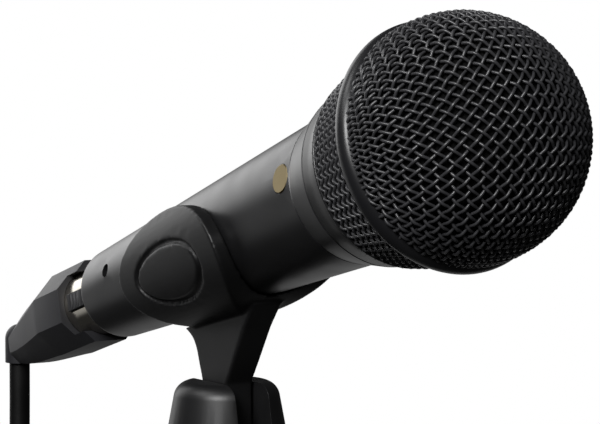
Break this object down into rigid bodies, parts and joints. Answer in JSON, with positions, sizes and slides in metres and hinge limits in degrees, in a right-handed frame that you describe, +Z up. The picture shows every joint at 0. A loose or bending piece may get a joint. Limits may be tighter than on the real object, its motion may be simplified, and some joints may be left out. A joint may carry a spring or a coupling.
{
  "type": "stand-clip microphone",
  "caption": "Hand-held stage microphone with a woven ball grille, in a tilting stand clip, with its lead plugged in and coiled below.",
  "frame": {"origin": "centre of the stand thread's mouth, at the bottom of the clip's base", "axes": "+Z up along the stand thread, +X towards the microphone's head, the tilt pivot along Y"},
  "size_m": [0.2587, 0.113, 0.2405],
  "materials": {
    "black_plastic": "moulded black plastic, semi-matt",
    "clip_plastic": "fine-grained black nylon",
    "brass": "turned brass",
    "steel": "zinc-plated steel",
    "nylon": "natural nylon",
    "lead_jacket": "matt black jacket",
    "strap_fabric": "black hook-and-loop tape",
    "rubber": "black rubber",
    "nickel": "satin nickel plate",
    "gold": "gold plate",
    "black_paint": "satin black paint",
    "grille_mesh": "black-coated woven steel wire",
    "grille_paint": "satin black paint",
    "magnet": "nickel-plated magnet",
    "board": "glass-epoxy board",
    "wire_jacket": "insulated wire",
    "foam": "open-cell foam",
    "film": "clear polyester film",
    "copper": "enamelled copper winding"
  },
  "bodies": {
    "base": {"swivel_base": "black_plastic", "thread_insert": "brass", "pivot_bolt": "steel", "pivot_nut": "steel", "pivot_washers": "nylon", "lead_drop": "lead_jacket", "lead_coil": "lead_jacket", "lead_tail": "lead_jacket", "coil_tie": "strap_fabric", "far_plug_boot": "rubber", "far_plug_shell": "nickel", "far_plug_insert": "black_plastic", "far_plug_pins": "gold", "far_plug_chuck": "nylon"},
    "cradle": {"clip_cradle": "clip_plastic"},
    "microphone": {"lock_ring": "black_paint", "handle": "black_paint", "badge": "gold", "tail_screw": "steel", "xlr_insert": "black_plastic", "xlr_pins": "gold", "capsule_housing": "black_plastic", "capsule_cap": "nickel", "yoke": "steel", "magnet": "magnet", "pole_piece": "steel", "shock_mount": "rubber", "terminal_board": "board", "signal_wires": "wire_jacket"},
    "grille": {"grille_dome": "grille_mesh", "grille_band": "grille_paint", "grille_skirt": "grille_mesh", "grille_collar": "black_paint", "foam_liner": "foam"},
    "moving_coil": {"diaphragm": "film", "voice_coil": "copper"},
    "plug": {"plug_housing": "clip_plastic", "plug_shell": "nickel", "plug_insert": "black_plastic", "plug_contacts": "gold"},
    "latch": {"latch": "black_plastic"}
  },
  "joints": [
    {"name": "clip_tilt", "type": "hinge", "parent": "base", "child": "cradle", "pos_m": [0, 0, 0.024], "axis": [0, -1, 0], "range_deg": [-50, 45]},
    {"name": "mic_slide", "type": "slide", "parent": "cradle", "child": "microphone", "axis": [0.9613, 0, 0.2756], "range_m": [0, 0.06]},
    {"name": "grille_unscrew", "type": "slide", "parent": "microphone", "child": "grille", "axis": [0.9613, 0, 0.2756], "range_m": [0, 0.05]},
    {"name": "diaphragm_stroke", "type": "slide", "parent": "microphone", "child": "moving_coil", "axis": [0.9613, 0, 0.2756], "range_m": [-0.0003, 0.0003], "stiffness_N_per_m": 800},
    {"name": "plug_follow", "type": "hinge", "parent": "base", "child": "plug", "pos_m": [0, 0, 0.024], "axis": [0, -1, 0], "range_deg": [-50, 45], "deforming": ["lead_drop"]},
    {"name": "latch_press", "type": "slide", "parent": "plug", "child": "latch", "axis": [0, 1, 0], "range_m": [0, 0.0012], "stiffness_N_per_m": 800}
  ],
  "couplings": [
    {"joint": "plug_follow", "follows": "clip_tilt", "ratio": 1}
  ]
}
